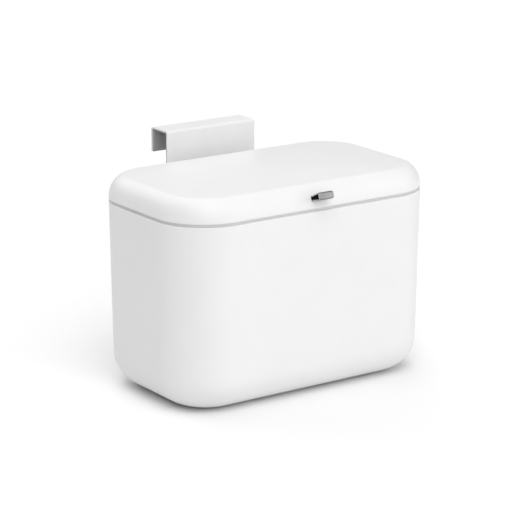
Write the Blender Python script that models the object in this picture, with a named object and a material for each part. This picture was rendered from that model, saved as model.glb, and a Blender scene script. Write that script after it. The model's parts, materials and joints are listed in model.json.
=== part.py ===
"""Over-door kitchen waste caddy: outer body, lift-out bucket, hinged lid, odour filter and door hook.

Lengths are in metres, +Z is up and the floor is at z = 0. The front, with the pull tab, faces -Y and the
door that the hook hangs on is behind, at +Y. Each piece is modelled in the body's own frame, whose Y = 0
is the middle of the body, and the empty "caddy" carries them all to the middle of the whole footprint.
"""

import math

import bmesh
import bpy

# Outer form, measured at the seam between body and lid
WIDTH = 0.2500
DEPTH = 0.1490
PLAN_RADIUS = 0.0446
TAPER_X = 0.0016
TAPER_Y = 0.0022
BASE_RADIUS = 0.0279
FOOT_PROUD = 0.0008
SEAM_Z = 0.1573
SEAM_GAP = 0.0024
LID_FILLET = 0.0142
LID_SHOULDER_Z = 0.1767
LID_CROWN = 0.0021

# Walls and clearances
BODY_WALL = 0.0024
LID_WALL = 0.0022
BUCKET_WALL = 0.0018
CLEAR = 0.0003

BODY_TOP = SEAM_Z - SEAM_GAP / 2
LID_BOTTOM = SEAM_Z + SEAM_GAP / 2

# Collar frame: the deck that shows in the seam, and the rear channel that the open lid dips into
DECK_RECESS = 0.0009
DECK_BOTTOM = BODY_TOP + CLEAR
DECK_TOP = LID_BOTTOM - 0.0004
COLLAR_SKIRT = 0.0018
COLLAR_SKIRT_BOTTOM = 0.1480
OPENING_INSET = 0.0130
OPENING_BACK_Y = 0.0460
CHANNEL_HALF_X = 0.1080
CHANNEL_FRONT_Y = 0.0572
CHANNEL_FLOOR_Z = 0.1526
CHANNEL_WALL = 0.0017

# Bucket
BUCKET_BOTTOM_Z = 0.0065
BUCKET_GAP = 0.0008
BUCKET_DRAFT = 0.0050
BUCKET_BASE_RADIUS = 0.0120
RIM_WIDTH = 0.0053
RIM_THICKNESS = 0.0018
RIM_BOTTOM = DECK_TOP + CLEAR
RIM_TOP = RIM_BOTTOM + RIM_THICKNESS

# Lid hinge, set in from the back so that the open lid stays in front of the door
PIVOT_Y = 0.0660
PIVOT_Z = 0.1653
HINGE_X = 0.0600
PIN_RADIUS = 0.0015
PIN_BORE = 0.0016
PIN_HALF_LENGTH = 0.0083
KNUCKLE_RADIUS = 0.0036
KNUCKLE_HALF_WIDTH = 0.0045
EAR_GAP = 0.0004
EAR_WIDTH = 0.0030
BRACKET_FOOT_HALF_X = 0.0112
BRACKET_FOOT_Y = (0.0516, 0.0568)
BRACKET_FOOT_CORNER = 0.0020
BRACKET_FOOT_HEIGHT = 0.0018
BRACKET_BOSS_RADIUS = 0.0031
BRACKET_BOSS_BOTTOM = 0.1502
BRACKET_SCREW_X = 0.0080
BRACKET_SCREW_Y = 0.0542
BRACKET_SCREW_RADIUS = 0.0013
BRACKET_SCREW_HEAD = 0.0023
BRACKET_SCREW_HEIGHT = 0.0013
BRACKET_SCREW_TIP = 0.1520

# Lid inside
SEAL_HEIGHT = 0.0026
SEAL_WIDTH = 0.0032
LINER_THICKNESS = 0.0018
LINER_BOTTOM = RIM_TOP + SEAL_HEIGHT + 2 * CLEAR
LINER_TOP = LINER_BOTTOM + LINER_THICKNESS
LINER_INSET = 0.0042
LINER_BACK_Y = 0.0498
LINER_SCREW_X = 0.0970
LINER_SCREW_YS = (-0.0490, 0.0340)
LINER_SCREW_RADIUS = 0.0011
LINER_SCREW_HEAD = 0.0028
LINER_SCREW_HEIGHT = 0.0014
LINER_SCREW_TIP = 0.1713
LINER_BOSS_RADIUS = 0.0035
LINER_BOSS_TOP = 0.1760
SEAL_RECESS = 0.0014
TAIL_NOTCH_HALF_X = 0.0098
TAIL_NOTCH_BACK_Y = -0.0666

# Odour filter
FILTER_Y = -0.0070
FILTER_OPENING = 0.0380
COVER_RADIUS = 0.0415
COVER_THICKNESS = 0.0015
COVER_COLLAR = 0.0376
COVER_COLLAR_WALL = 0.0014
LUG_COUNT = 3
LUG_REACH = 0.0402
LUG_HEIGHT = 0.0011
LUG_HALF_ANGLE = math.radians(6)
NOTCH_HALF_ANGLE = math.radians(8)
TWIST = math.radians(30)
GRIP_HALF_LENGTH = 0.0260
GRIP_HALF_WIDTH = 0.0021
GRIP_CORNER = 0.0020
GRIP_HEIGHT = 0.0046
VENT_ROWS = 4
VENT_FIRST_X = 0.0097
VENT_PITCH = 0.0062
VENT_HALF_WIDTH = 0.0013
VENT_REACH = 0.0330
CHARCOAL_RADIUS = 0.0356
CHARCOAL_HEIGHT = 0.0080
CHARCOAL_EDGE = 0.0008

# Pull tab: a strip folded to a U that is taller at its front than where it leaves the lid
TAB_ROOT_Y = -0.0729
TAB_ROOT_Z = 0.1668
TAB_TILT = math.radians(21)
TAB_WIDTH = 0.0142
TAB_HEIGHT = 0.0064
TAB_ROOT_HEIGHT = 0.0041
TAB_SHEET = 0.0009
TAB_REACH = 0.0112
TAB_TAIL = 0.0052
TAB_BEND = 0.0015
TAB_CORNER = 0.0020
KEEPER_OFFSET = 0.0038
KEEPER_THICKNESS = 0.0008
KEEPER_HALF_WIDTH = 0.0088
KEEPER_HALF_HEIGHT = 0.0042

# Door hook
HOOK_WIDTH = 0.0884
HOOK_SHEET = 0.0012
HOOK_FRONT_Y = 0.0805
HOOK_DEPTH = 0.0247
HOOK_TOP_Z = 0.1981
HOOK_BACK_BOTTOM_Z = 0.1767
HOOK_LEG_BOTTOM_Z = 0.1140
HOOK_BEND = 0.0020
HOOK_CORNER = 0.0015
LEG_BACK_Y = HOOK_FRONT_Y + HOOK_SHEET
DOOR_FACE_Y = 0.0835
STUD_X = 0.0300
STUD_Z = 0.1280
STUD_RADIUS = 0.0020
STUD_HEAD_RADIUS = 0.0040
STUD_HEAD_HEIGHT = 0.0009
STUD_FRONT_Y = 0.0766
KEYHOLE_RISE = 0.0110
KEYHOLE_RADIUS = 0.0044

PAD_GAP = 0.0002
PAD_HALF_X = 0.0436
PAD_TOP_Z = 0.1953
FRONT_PAD_BOTTOM_Z = 0.1500
BACK_PAD_BOTTOM_Z = 0.1773
PAD_THICKNESS = 0.0016
TOP_PAD_THICKNESS = 0.0010
TOP_PAD_MARGIN = 0.0026

# Hook mount plate on the body's back wall
PLATE_HALF_X = 0.0500
PLATE_BEVEL = 0.0010
PLATE_BOTTOM_Z = 0.1040
PLATE_TOP_Z = 0.1500
PLATE_SCREW_X = 0.0420
PLATE_SCREW_ZS = (0.1120, 0.1420)
PLATE_SCREW_RADIUS = 0.0014
PLATE_SCREW_HEAD = 0.0030
PLATE_SCREW_HEIGHT = 0.0017
PLATE_SCREW_TIP = 0.0788

# Rubber parts
BUMPER_X = 0.0720
BUMPER_Z = 0.0380
BUMPER_NECK = 0.0022
BUMPER_BARB = 0.0036
BUMPER_BARB_LENGTH = 0.0030
BUMPER_BASE = 0.0080
BUMPER_BASE_HEIGHT = 0.0012
BUMPER_NOSE = 0.0062
FOOT_X = 0.0820
FOOT_Y = 0.0340
FOOT_RADIUS = 0.0058
FOOT_HEIGHT = 0.0016

# How far a cutter reaches past the wall it goes through, and the edge taken off small turned parts
CUT_REACH = 0.0100
CUT_OVERLAP = 0.0020
SMALL_EDGE = 0.0004

# Steps of the rounded forms
CORNER_STEPS = 8
EDGE_STEPS = 6
BEND_STEPS = 5
KNUCKLE_STEPS = 12
LUG_STEPS = 2
ROUND_STEPS = 20
SCREW_STEPS = 10
DISC_STEPS = 36

SIDES = (("left", -1), ("right", 1))


# ---------------------------------------------------------------- outlines


def arc(centre, radius, start, end, steps):
    """Points on an arc from start to end, in radians, both ends included."""
    points = []
    for step in range(steps + 1):
        angle = start + (end - start) * step / steps
        points.append((centre[0] + radius * math.cos(angle), centre[1] + radius * math.sin(angle)))
    return points


def rounded_rect(x0, x1, y0, y1, radius, steps=CORNER_STEPS):
    """A rectangle with round corners, counter-clockwise from its +X side."""
    quarter = math.pi / 2
    corners = ((x1, y1, -1, -1), (x0, y1, 1, -1), (x0, y0, 1, 1), (x1, y0, -1, 1))
    points = []
    for turn, (x, y, inward_x, inward_y) in enumerate(corners):
        centre = (x + inward_x * radius, y + inward_y * radius)
        points += arc(centre, radius, turn * quarter, (turn + 1) * quarter, steps)
    return points


def at_height(outline, z):
    return [(x, y, z) for x, y in outline]


def taper_share(z):
    """How far below the seam a height lies: 0 at the seam, 1 at the body's base."""
    return (SEAM_Z - z) / (SEAM_Z - FOOT_PROUD)


def body_ring(inset, z):
    """The tapered body's outline at height z, moved in from its outer face by inset."""
    share = taper_share(z)
    half_x = WIDTH / 2 - TAPER_X * share - inset
    half_y = DEPTH / 2 - TAPER_Y * share - inset
    return at_height(rounded_rect(-half_x, half_x, -half_y, half_y, PLAN_RADIUS - inset), z)


def lid_outline(inset):
    half_x = WIDTH / 2 - inset
    half_y = DEPTH / 2 - inset
    return rounded_rect(-half_x, half_x, -half_y, half_y, PLAN_RADIUS - inset)


def opening_outline(grow):
    """The bucket opening of the collar frame, made larger all round by grow."""
    half_x = WIDTH / 2 - OPENING_INSET + grow
    front = DEPTH / 2 - OPENING_INSET + grow
    radius = PLAN_RADIUS - OPENING_INSET + grow
    return rounded_rect(-half_x, half_x, -front, OPENING_BACK_Y + grow, radius)


def cut_back(outline, y_limit):
    """The outline with everything behind y_limit cut off square."""
    points = []
    for index, (x, y) in enumerate(outline):
        last_x, last_y = outline[index - 1]
        if (y <= y_limit) != (last_y <= y_limit):
            share = (y_limit - last_y) / (y - last_y)
            points.append((last_x + (x - last_x) * share, y_limit))
        if y <= y_limit:
            points.append((x, y))
    return points


def back_wall_y(z):
    """Outer face of the body's back wall at height z."""
    return DEPTH / 2 - TAPER_Y * taper_share(z)


# ---------------------------------------------------------------- solids


def add_loft(bm, rings, closed=False):
    """Skin a row of rings; the ends are capped, or joined to each other when closed is true."""
    rows = [[bm.verts.new(point) for point in ring] for ring in rings]
    pairs = list(zip(rows, rows[1:]))
    if closed:
        pairs.append((rows[-1], rows[0]))
    else:
        bm.faces.new(rows[0])
        bm.faces.new(rows[-1])
    for low, high in pairs:
        count = len(low)
        for i in range(count):
            j = (i + 1) % count
            bm.faces.new((low[i], low[j], high[j], high[i]))


def add_box(bm, x_range, y_range, z_range):
    (x0, x1), (y0, y1) = x_range, y_range
    outline = [(x0, y0), (x1, y0), (x1, y1), (x0, y1)]
    add_loft(bm, [at_height(outline, z) for z in z_range])


def add_side_profile(bm, outline, x_range):
    """A (y, z) outline stretched along X."""
    add_loft(bm, [[(x, y, z) for y, z in outline] for x in x_range])


def add_turned(bm, profile, centre, axis, steps=ROUND_STEPS):
    """A solid turned about the line through centre along axis, from (radius, distance along it) pairs."""
    rings = []
    for radius, along in profile:
        ring = []
        for a, b in arc((0, 0), radius, 0, 2 * math.pi, steps)[:-1]:
            offsets = {"X": (along, a, b), "Y": (a, along, b), "Z": (a, b, along)}[axis]
            ring.append(tuple(c + o for c, o in zip(centre, offsets)))
        rings.append(ring)
    add_loft(bm, rings)


def add_rod(bm, radius, start, end, centre, axis, steps=SCREW_STEPS):
    add_turned(bm, [(radius, start), (radius, end)], centre, axis, steps)


def add_screw(bm, centre, axis, seat, tip, radius, head, height):
    """A pan-head screw from its tip to its head, which lies on the far side of the seat."""
    way = 1 if tip > seat else -1
    profile = [(radius - SMALL_EDGE, tip), (radius, tip - way * SMALL_EDGE), (radius, seat), (head, seat)]
    profile += [(head, seat - way * height * 0.6), (head - 2 * SMALL_EDGE, seat - way * height)]
    add_turned(bm, profile, centre, axis, SCREW_STEPS)


def new_object(name, bm):
    bmesh.ops.recalc_face_normals(bm, faces=bm.faces)
    mesh = bpy.data.meshes.new(name)
    bm.to_mesh(mesh)
    bm.free()
    item = bpy.data.objects.new(name, mesh)
    bpy.context.collection.objects.link(item)
    item.parent = bpy.data.objects["caddy"]
    return item


def piece(name, bm, material):
    item = new_object(name, bm)
    item.data.materials.append(material)
    item.data.shade_smooth()
    item.data.set_sharp_from_angle(angle=math.radians(30))
    return item


def combine(target, bm, operation):
    """Cut a tool from the target, or join it on; the tool stays as a wire guide."""
    tool = new_object(f"{target.name}_{operation.lower()}_{len(target.modifiers)}", bm)
    tool.hide_render = True
    tool.display_type = "WIRE"
    modifier = target.modifiers.new(operation.title(), "BOOLEAN")
    modifier.operation = operation
    modifier.solver = "EXACT"
    modifier.object = tool


def material(name, colour, roughness, metallic=0.0):
    made = bpy.data.materials.new(name)
    made.use_nodes = True
    shader = made.node_tree.nodes["Principled BSDF"]
    shader.inputs["Base Color"].default_value = (*colour, 1.0)
    shader.inputs["Roughness"].default_value = roughness
    shader.inputs["Metallic"].default_value = metallic
    return made


# ---------------------------------------------------------------- body side


def edge_angles(steps=EDGE_STEPS):
    """Even steps over a quarter turn."""
    return [math.pi / 2 * step / steps for step in range(steps + 1)]


def make_body_shell(finish):
    """The outer body: a cup with a large base radius, its back edge notched for the open lid."""
    inner_radius = BASE_RADIUS - BODY_WALL
    outer = []
    inner = []
    for angle in edge_angles():
        rise, pull = 1 - math.cos(angle), 1 - math.sin(angle)
        outer.append(body_ring(BASE_RADIUS * pull, FOOT_PROUD + BASE_RADIUS * rise))
        height = FOOT_PROUD + BODY_WALL + inner_radius * rise
        inner.append(body_ring(BODY_WALL + inner_radius * pull, height))
    bm = bmesh.new()
    add_loft(bm, outer + [body_ring(0, BODY_TOP), body_ring(BODY_WALL, BODY_TOP)] + inner[::-1])
    shell = piece("body_shell", bm, finish)

    cuts = bmesh.new()
    notch_z = CHANNEL_FLOOR_Z + CLEAR
    add_box(cuts, (-CHANNEL_HALF_X, CHANNEL_HALF_X), (CHANNEL_FRONT_Y, DEPTH), (notch_z, LID_BOTTOM))
    pocket_top = FOOT_HEIGHT + CLEAR
    for x in (-FOOT_X, FOOT_X):
        for y in (-FOOT_Y, FOOT_Y):
            add_rod(cuts, FOOT_RADIUS + CLEAR, -FOOT_PROUD, pocket_top, (x, y, 0), "Z", ROUND_STEPS)
    for _, side in SIDES:
        holes = [(PLATE_SCREW_RADIUS, PLATE_SCREW_X, z) for z in PLATE_SCREW_ZS]
        for radius, x, z in holes + [(BUMPER_NECK, BUMPER_X, BUMPER_Z)]:
            centre = (side * x, back_wall_y(z), z)
            add_rod(cuts, radius + CLEAR, -CUT_REACH, CUT_REACH, centre, "Y")
    combine(shell, cuts, "DIFFERENCE")


def make_collar_frame(finish):
    """The ring that closes the gap between body and bucket, with the hinge channel at its back."""
    skirt_outer = BODY_WALL + CLEAR
    skirt_inner = skirt_outer + COLLAR_SKIRT
    section = [
        body_ring(DECK_RECESS, DECK_TOP),
        at_height(opening_outline(0), DECK_TOP),
        at_height(opening_outline(0), DECK_BOTTOM),
        body_ring(skirt_inner, DECK_BOTTOM),
        body_ring(skirt_inner, COLLAR_SKIRT_BOTTOM),
        body_ring(skirt_outer, COLLAR_SKIRT_BOTTOM),
        body_ring(skirt_outer, DECK_BOTTOM),
        body_ring(DECK_RECESS, DECK_BOTTOM),
    ]
    bm = bmesh.new()
    add_loft(bm, section, closed=True)
    frame = piece("collar_frame", bm, finish)

    block = bmesh.new()
    block_front = CHANNEL_FRONT_Y - CHANNEL_WALL
    block_half_x = CHANNEL_HALF_X + CHANNEL_WALL
    inset = skirt_outer + 2 * CLEAR
    within = [(x, y) for x, y in lid_outline(inset) if y > block_front and abs(x) < block_half_x]
    from_centre = block_half_x - (WIDTH / 2 - PLAN_RADIUS)
    corner_y = DEPTH / 2 - PLAN_RADIUS + math.sqrt((PLAN_RADIUS - inset) ** 2 - from_centre ** 2)
    outline = within + [(-block_half_x, corner_y), (-block_half_x, block_front)]
    outline += [(block_half_x, block_front), (block_half_x, corner_y)]
    block_top = (DECK_BOTTOM + DECK_TOP) / 2
    add_loft(block, [at_height(outline, z) for z in (CHANNEL_FLOOR_Z - CHANNEL_WALL, block_top)])
    combine(frame, block, "UNION")

    bosses = bmesh.new()
    holes = bmesh.new()
    for x in bracket_screw_xs():
        centre = (x, BRACKET_SCREW_Y, 0)
        add_rod(bosses, BRACKET_BOSS_RADIUS, BRACKET_BOSS_BOTTOM, block_top, centre, "Z")
        hole_bottom = BRACKET_SCREW_TIP - CLEAR
        add_rod(holes, BRACKET_SCREW_RADIUS + CLEAR, hole_bottom, LID_BOTTOM, centre, "Z")
    combine(frame, bosses, "UNION")
    channel_x = (-CHANNEL_HALF_X, CHANNEL_HALF_X)
    add_box(holes, channel_x, (CHANNEL_FRONT_Y, DEPTH), (CHANNEL_FLOOR_Z, LID_BOTTOM))
    combine(frame, holes, "DIFFERENCE")


def bracket_screw_xs():
    offsets = (-BRACKET_SCREW_X, BRACKET_SCREW_X)
    return [side * HINGE_X + offset for _, side in SIDES for offset in offsets]


def bucket_ring(inset, z):
    """The bucket's drafted outline at height z, moved in from its outer wall by inset."""
    draft = BUCKET_DRAFT * (RIM_BOTTOM - z) / (RIM_BOTTOM - BUCKET_BOTTOM_Z)
    return at_height(opening_outline(-BUCKET_GAP - draft - inset), z)


def make_inner_bucket(finish):
    """The lift-out bucket, hanging by its rim on the collar's deck."""
    inner_radius = BUCKET_BASE_RADIUS - BUCKET_WALL
    outer = []
    inner = []
    for angle in edge_angles():
        rise, pull = 1 - math.cos(angle), 1 - math.sin(angle)
        outer.append(bucket_ring(BUCKET_BASE_RADIUS * pull, BUCKET_BOTTOM_Z + BUCKET_BASE_RADIUS * rise))
        height = BUCKET_BOTTOM_Z + BUCKET_WALL + inner_radius * rise
        inner.append(bucket_ring(BUCKET_WALL + inner_radius * pull, height))
    rim = opening_outline(RIM_WIDTH - BUCKET_GAP)
    bm = bmesh.new()
    rings = outer + [bucket_ring(0, RIM_BOTTOM), at_height(rim, RIM_BOTTOM), at_height(rim, RIM_TOP)]
    add_loft(bm, rings + [bucket_ring(BUCKET_WALL, RIM_TOP)] + inner[::-1])
    piece("inner_bucket", bm, finish)


def make_hinge_bracket(side_name, side, finish):
    """A goose-neck: a foot on the collar's deck, and an arm back to the knuckle that the pin turns in."""
    x = side * HINGE_X
    foot_bottom = DECK_TOP + CLEAR
    arm = [(0.0525, foot_bottom), (0.0570, foot_bottom), (0.0570, 0.1606)]
    arm += arc((PIVOT_Y, PIVOT_Z), KNUCKLE_RADIUS, math.radians(-100), math.radians(110), KNUCKLE_STEPS)
    arm += [(0.0560, 0.1646), (0.0525, 0.1622)]
    bm = bmesh.new()
    add_side_profile(bm, arm, (x - KNUCKLE_HALF_WIDTH, x + KNUCKLE_HALF_WIDTH))
    bracket = piece(f"hinge_bracket_{side_name}", bm, finish)

    foot = bmesh.new()
    foot_x = (x - BRACKET_FOOT_HALF_X, x + BRACKET_FOOT_HALF_X)
    outline = rounded_rect(*foot_x, *BRACKET_FOOT_Y, BRACKET_FOOT_CORNER, BEND_STEPS)
    add_loft(foot, [at_height(outline, z) for z in (foot_bottom, foot_bottom + BRACKET_FOOT_HEIGHT)])
    combine(bracket, foot, "UNION")

    bores = bmesh.new()
    add_rod(bores, PIN_BORE, -CUT_REACH, CUT_REACH, (x, PIVOT_Y, PIVOT_Z), "X", ROUND_STEPS)
    for offset in (-BRACKET_SCREW_X, BRACKET_SCREW_X):
        centre = (x + offset, BRACKET_SCREW_Y, foot_bottom)
        add_rod(bores, BRACKET_SCREW_RADIUS + CLEAR, -CUT_OVERLAP, CUT_REACH, centre, "Z")
    combine(bracket, bores, "DIFFERENCE")


def make_bracket_screws(finish):
    seat = DECK_TOP + CLEAR + BRACKET_FOOT_HEIGHT + CLEAR
    size = (BRACKET_SCREW_RADIUS, BRACKET_SCREW_HEAD, BRACKET_SCREW_HEIGHT)
    for number, x in enumerate(bracket_screw_xs(), 1):
        bm = bmesh.new()
        add_screw(bm, (x, BRACKET_SCREW_Y, 0), "Z", seat, BRACKET_SCREW_TIP, *size)
        piece(f"hinge_bracket_screw_{number}", bm, finish)


def make_hook_mount_plate(finish):
    """The spacer on the back wall: it follows the wall's draft in front and is upright behind."""
    back = HOOK_FRONT_Y - CLEAR
    bottom, top, bevel = PLATE_BOTTOM_Z, PLATE_TOP_Z, PLATE_BEVEL
    outline = [(back_wall_y(bottom) + CLEAR, bottom), (back - bevel, bottom), (back, bottom + bevel)]
    outline += [(back, top - bevel), (back - bevel, top), (back_wall_y(top) + CLEAR, top)]
    bm = bmesh.new()
    add_side_profile(bm, outline, (-PLATE_HALF_X, PLATE_HALF_X))
    plate = piece("hook_mount_plate", bm, finish)

    bores = bmesh.new()
    hole_front = DEPTH / 2 - TAPER_Y
    for _, side in SIDES:
        for z in PLATE_SCREW_ZS:
            radius = PLATE_SCREW_RADIUS + CLEAR
            add_rod(bores, radius, hole_front, PLATE_SCREW_TIP + CLEAR, (side * PLATE_SCREW_X, 0, z), "Y")
        centre = (side * STUD_X, STUD_FRONT_Y, STUD_Z)
        add_rod(bores, STUD_RADIUS + CLEAR, -CLEAR, CUT_REACH, centre, "Y")
    combine(plate, bores, "DIFFERENCE")


def make_mount_plate_screws(finish):
    size = (PLATE_SCREW_RADIUS, PLATE_SCREW_HEAD, PLATE_SCREW_HEIGHT)
    places = [(side * PLATE_SCREW_X, z) for _, side in SIDES for z in PLATE_SCREW_ZS]
    for number, (x, z) in enumerate(places, 1):
        seat = back_wall_y(z) - BODY_WALL - CLEAR
        bm = bmesh.new()
        add_screw(bm, (x, 0, z), "Y", seat, PLATE_SCREW_TIP, *size)
        piece(f"mount_plate_screw_{number}", bm, finish)


def make_hook_stud(side_name, side, finish):
    """A shoulder stud: its shank stands in the leg's keyhole and its head keeps the leg on."""
    head = LEG_BACK_Y + PAD_GAP
    end = head + STUD_HEAD_HEIGHT
    edge = SMALL_EDGE
    profile = [(STUD_RADIUS - edge, STUD_FRONT_Y), (STUD_RADIUS, STUD_FRONT_Y + edge)]
    profile += [(STUD_RADIUS, head), (STUD_HEAD_RADIUS, head)]
    profile += [(STUD_HEAD_RADIUS, end - edge), (STUD_HEAD_RADIUS - edge, end)]
    bm = bmesh.new()
    add_turned(bm, profile, (side * STUD_X, 0, STUD_Z), "Y")
    piece(f"hook_stud_{side_name}", bm, finish)


def make_rear_bumper(side_name, side, finish):
    """A push-in rubber bumper: barb inside the wall, neck through it and a cone out to the door."""
    outside = back_wall_y(BUMPER_Z) + CLEAR
    inside = back_wall_y(BUMPER_Z) - BODY_WALL - CLEAR
    profile = [(BUMPER_NECK, inside - BUMPER_BARB_LENGTH), (BUMPER_BARB, inside - SMALL_EDGE)]
    profile += [(BUMPER_BARB, inside), (BUMPER_NECK, inside), (BUMPER_NECK, outside)]
    profile += [(BUMPER_BASE, outside), (BUMPER_BASE, outside + BUMPER_BASE_HEIGHT)]
    profile += [(BUMPER_NOSE + SMALL_EDGE, DOOR_FACE_Y - SMALL_EDGE), (BUMPER_NOSE, DOOR_FACE_Y)]
    bm = bmesh.new()
    add_turned(bm, profile, (side * BUMPER_X, 0, BUMPER_Z), "Y")
    piece(f"rear_bumper_{side_name}", bm, finish)


def make_feet(finish):
    profile = [(FOOT_RADIUS - SMALL_EDGE, 0), (FOOT_RADIUS, SMALL_EDGE), (FOOT_RADIUS, FOOT_HEIGHT)]
    for end_name, y in (("front", -FOOT_Y), ("back", FOOT_Y)):
        for side_name, side in SIDES:
            bm = bmesh.new()
            add_turned(bm, profile, (side * FOOT_X, y, 0), "Z")
            piece(f"foot_{end_name}_{side_name}", bm, finish)


# ---------------------------------------------------------------- lid side


def lid_skin(wall):
    """Rings of one face of the lid, from its lower edge to its crown; wall is the distance in."""
    reach = LID_FILLET - wall
    rise = LID_SHOULDER_Z - LID_BOTTOM - wall
    rings = []
    for angle in edge_angles():
        inset = wall + reach * (1 - math.cos(angle))
        rings.append(at_height(lid_outline(inset), LID_BOTTOM + rise * math.sin(angle)))
    shoulder = rings[-1]
    for share in (0.75, 0.45, 0.15):
        z = LID_SHOULDER_Z - wall + LID_CROWN * (1 - share ** 2)
        rings.append([(x * share, y * share, z) for x, y, _ in shoulder])
    return rings


def tab_point(out, up):
    """A (y, z) point given along the pull tab's axis, out from the lid's face, and square to it."""
    sine, cosine = math.sin(TAB_TILT), math.cos(TAB_TILT)
    return (TAB_ROOT_Y - out * cosine + up * sine, TAB_ROOT_Z + out * sine + up * cosine)


def tab_slab(bm, x_range, out_range, up_range):
    """A box lined up with the pull tab."""
    corners = [(out_range[0], up_range[0]), (out_range[1], up_range[0])]
    corners += [(out_range[1], up_range[1]), (out_range[0], up_range[1])]
    add_side_profile(bm, [tab_point(out, up) for out, up in corners], x_range)


def add_tab_slits(bm, out_range):
    """Two cutters, one for each leg of the pull tab."""
    half_width = TAB_WIDTH / 2 + CLEAR
    outer = TAB_ROOT_HEIGHT / 2 + CLEAR
    inner = TAB_ROOT_HEIGHT / 2 - TAB_SHEET - CLEAR
    for up_range in ((-outer, -inner), (inner, outer)):
        tab_slab(bm, (-half_width, half_width), out_range, up_range)


def make_lid_shell(finish):
    """The domed lid with its hinge ears and liner bosses, and two slits for the pull tab."""
    bm = bmesh.new()
    add_loft(bm, lid_skin(LID_WALL)[::-1] + lid_skin(0))
    lid = piece("lid_shell", bm, finish)

    additions = bmesh.new()
    ear = arc((PIVOT_Y, PIVOT_Z), KNUCKLE_RADIUS, math.pi, 2 * math.pi, KNUCKLE_STEPS)
    ear += [(0.0723, 0.1661), (0.0702, 0.1704), (0.0662, 0.1740), (PIVOT_Y - KNUCKLE_RADIUS, 0.1756)]
    near = KNUCKLE_HALF_WIDTH + EAR_GAP
    for _, side in SIDES:
        for direction in (-1, 1):
            reach = [side * HINGE_X + direction * offset for offset in (near, near + EAR_WIDTH)]
            add_side_profile(additions, ear, reach)
        for y in LINER_SCREW_YS:
            centre = (side * LINER_SCREW_X, y, 0)
            add_rod(additions, LINER_BOSS_RADIUS, LINER_TOP + CLEAR, LINER_BOSS_TOP, centre, "Z")
    combine(lid, additions, "UNION")

    cuts = bmesh.new()
    for _, side in SIDES:
        centre = (side * HINGE_X, PIVOT_Y, PIVOT_Z)
        add_rod(cuts, PIN_BORE, -CUT_REACH, CUT_REACH, centre, "X", ROUND_STEPS)
        for y in LINER_SCREW_YS:
            radius = LINER_SCREW_RADIUS + CLEAR
            add_rod(cuts, radius, LINER_TOP, LINER_SCREW_TIP + CLEAR, (side * LINER_SCREW_X, y, 0), "Z")
    add_tab_slits(cuts, (-TAB_TAIL, TAB_TAIL))
    combine(lid, cuts, "DIFFERENCE")


def make_hinge_pin(side_name, side, finish):
    upper = [(PIN_RADIUS, PIN_HALF_LENGTH - SMALL_EDGE), (PIN_RADIUS - SMALL_EDGE, PIN_HALF_LENGTH)]
    profile = [(radius, -along) for radius, along in upper[::-1]] + upper
    bm = bmesh.new()
    add_turned(bm, profile, (side * HINGE_X, PIVOT_Y, PIVOT_Z), "X")
    piece(f"hinge_pin_{side_name}", bm, finish)


def make_lid_liner(finish):
    """The flat inner cover, with the filter's opening and a notch that clears the pull tab's tail."""
    bm = bmesh.new()
    outline = cut_back(lid_outline(LINER_INSET), LINER_BACK_Y)
    add_loft(bm, [at_height(outline, z) for z in (LINER_BOTTOM, LINER_TOP)])
    liner = piece("lid_liner", bm, finish)

    cuts = bmesh.new()
    span = (LINER_BOTTOM - CUT_OVERLAP, LINER_TOP + CUT_OVERLAP)
    add_loft(cuts, [at_height(bayonet_outline(), z) for z in span])
    add_box(cuts, (-TAIL_NOTCH_HALF_X, TAIL_NOTCH_HALF_X), (-DEPTH / 2, TAIL_NOTCH_BACK_Y), span)
    for _, side in SIDES:
        for y in LINER_SCREW_YS:
            add_rod(cuts, LINER_SCREW_RADIUS + CLEAR, *span, (side * LINER_SCREW_X, y, 0), "Z")
    combine(liner, cuts, "DIFFERENCE")


def bayonet_outline():
    """The filter opening: a circle with a notch for each lug, a twist away from the locked lugs."""
    centre = (0, FILTER_Y)
    pitch = 2 * math.pi / LUG_COUNT
    edge_steps = DISC_STEPS // LUG_COUNT - 1
    outline = []
    for lug in range(LUG_COUNT):
        first = lug * pitch + TWIST - NOTCH_HALF_ANGLE
        last = first + 2 * NOTCH_HALF_ANGLE
        outline += arc(centre, LUG_REACH + 2 * CLEAR, first, last, LUG_STEPS)
        outline += arc(centre, FILTER_OPENING, last, first + pitch, edge_steps)
    return outline


def make_lid_seal(finish):
    outer = opening_outline(RIM_WIDTH - SEAL_RECESS)
    inner = opening_outline(RIM_WIDTH - SEAL_RECESS - SEAL_WIDTH)
    low, high = RIM_TOP + CLEAR, RIM_TOP + CLEAR + SEAL_HEIGHT
    bm = bmesh.new()
    rings = [at_height(outer, low), at_height(outer, high), at_height(inner, high), at_height(inner, low)]
    add_loft(bm, rings, closed=True)
    piece("lid_seal", bm, finish)


def make_liner_screws(finish):
    size = (LINER_SCREW_RADIUS, LINER_SCREW_HEAD, LINER_SCREW_HEIGHT)
    places = [(side * LINER_SCREW_X, y) for _, side in SIDES for y in LINER_SCREW_YS]
    for number, (x, y) in enumerate(places, 1):
        bm = bmesh.new()
        add_screw(bm, (x, y, 0), "Z", LINER_BOTTOM - CLEAR, LINER_SCREW_TIP, *size)
        piece(f"liner_screw_{number}", bm, finish)


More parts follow.
